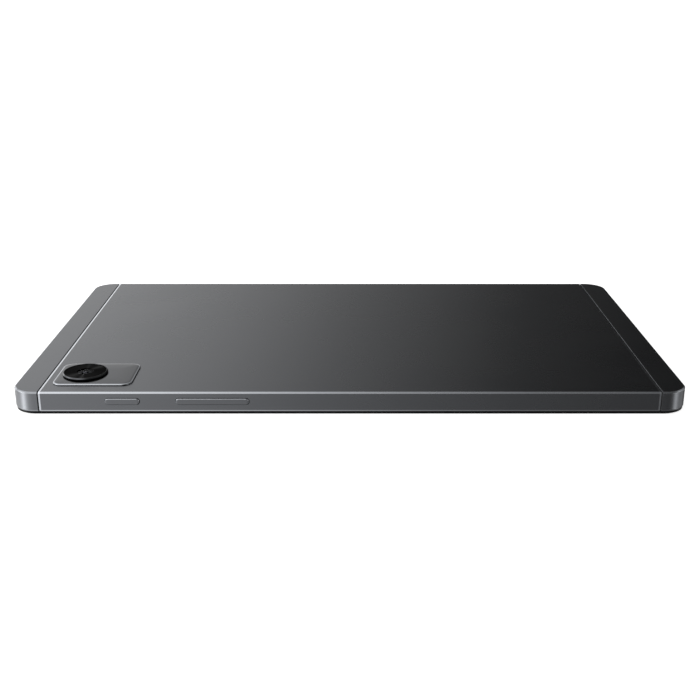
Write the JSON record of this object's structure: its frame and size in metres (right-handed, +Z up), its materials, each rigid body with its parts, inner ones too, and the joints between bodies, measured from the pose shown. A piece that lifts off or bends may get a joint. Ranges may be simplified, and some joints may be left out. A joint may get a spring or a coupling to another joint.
{
  "type": "tablet computer",
  "caption": "Slim rectangular tablet computer with a metal back, plastic end caps, raised rear camera, side keys, card tray and edge ports.",
  "frame": {"origin": "middle of the cover glass's outer face, which the tablet lies on with its metal back upwards", "axes": "+X along the length towards the port end, +Y across the width away from the key side, +Z up out of the metal back"},
  "size_m": [0.2118, 0.1248, 0.009],
  "materials": {
    "anodised_cover": "fine-blasted anodised aluminium, dark grey, with bright cut chamfers",
    "painted_cap": "plastic with a metallic grey paint that matches the cover",
    "anodised_key": "satin anodised aluminium, dark grey",
    "camera_plate": "smooth glossy metallic grey with a bright rim",
    "lens_rim": "polished black anodised ring",
    "lens_face": "black with fine concentric turning marks",
    "lens_glass": "coated dark lens",
    "black_frame": "moulded black plastic",
    "cover_glass": "polished glass, black from behind",
    "display_cell": "switched-off display",
    "diffuser": "white diffuser sheets",
    "black_tape": "black foam tape",
    "steel": "stamped stainless steel",
    "tinned_shield": "tinned sheet",
    "circuit_board": "green solder mask",
    "flex_circuit": "amber polyimide film",
    "battery_pouch": "dark laminate pouch",
    "graphite": "graphite heat spreader",
    "thermal_silicone": "soft filled silicone",
    "black_plastic": "moulded black plastic",
    "speaker_mesh": "fine woven acoustic mesh",
    "coax_jacket": "black jacket"
  },
  "bodies": {
    "chassis": {"rear_cover": "anodised_cover", "top_end_cap": "painted_cap", "bottom_end_cap": "painted_cap", "mid_frame": "black_frame", "cover_glass": "cover_glass", "glass_tape": "black_tape", "lcd_cell": "display_cell", "backlight_unit": "diffuser", "display_flex": "flex_circuit", "camera_plate": "camera_plate", "lens_ring": "lens_rim", "lens_disc": "lens_face", "lens_window": "lens_glass", "rear_camera_housing": "steel", "rear_camera_flex": "flex_circuit", "power_switch": "steel", "volume_up_switch": "steel", "volume_down_switch": "steel", "side_key_flex": "flex_circuit", "side_key_bracket": "steel", "card_reader": "steel", "eject_lever_pin": "steel", "battery_cell": "battery_pouch", "battery_tape": "black_tape", "battery_circuit": "flex_circuit", "main_board": "circuit_board", "sub_board": "circuit_board", "board_flex": "flex_circuit", "antenna_coax": "coax_jacket", "processor_shield": "tinned_shield", "power_shield": "tinned_shield", "radio_shield": "tinned_shield", "thermal_pad": "thermal_silicone", "graphite_sheet": "graphite", "board_screw_1": "steel", "board_screw_2": "steel", "board_screw_3": "steel", "board_screw_4": "steel", "board_screw_5": "steel", "board_screw_6": "steel", "board_screw_7": "steel", "usb_shell": "steel", "usb_tongue": "black_plastic", "headphone_jack": "black_plastic", "top_speaker": "black_plastic", "bottom_speaker": "black_plastic", "top_speaker_mesh": "speaker_mesh", "bottom_speaker_mesh": "speaker_mesh", "front_camera": "black_plastic", "light_sensor": "black_plastic", "top_microphone": "tinned_shield", "bottom_microphone": "tinned_shield", "wifi_antenna": "flex_circuit", "cellular_antenna": "flex_circuit"},
    "power_key": {"power_button": "anodised_key"},
    "volume_key": {"volume_rocker": "anodised_key"},
    "card_tray": {"sim_tray": "anodised_key"},
    "ejector_rod": {"eject_rod": "steel"},
    "ejector_lever": {"eject_lever": "steel"},
    "focus_barrel": {"rear_camera_barrel": "black_plastic"}
  },
  "joints": [
    {"name": "power_key_press", "type": "slide", "parent": "chassis", "child": "power_key", "axis": [0, 1, 0], "range_m": [0, 0.00025], "stiffness_N_per_m": 6000, "springref_m": -0.0001},
    {"name": "volume_key_rock", "type": "hinge", "parent": "chassis", "child": "volume_key", "pos_m": [-0.04265, -0.061, 0.00453], "axis": [0, 0, 1], "range_deg": [-1.2, 1.2], "stiffness_Nm_per_rad": 0.7},
    {"name": "card_tray_pull", "type": "slide", "parent": "chassis", "child": "card_tray", "axis": [0, 1, 0], "range_m": [0, 0.025]},
    {"name": "ejector_rod_push", "type": "slide", "parent": "chassis", "child": "ejector_rod", "axis": [0, -1, 0], "range_m": [0, 0.0015]},
    {"name": "ejector_lever_turn", "type": "hinge", "parent": "chassis", "child": "ejector_lever", "pos_m": [-0.0745, 0.0359, 0.0043], "axis": [0, 0, -1], "range_deg": [0, 11.5]},
    {"name": "camera_focus", "type": "slide", "parent": "chassis", "child": "focus_barrel", "axis": [0, 0, 1], "range_m": [0, 0.00025], "stiffness_N_per_m": 200}
  ],
  "couplings": [
    {"joint": "ejector_lever_turn", "follows": "ejector_rod_push", "rad_per_m": 130}
  ]
}
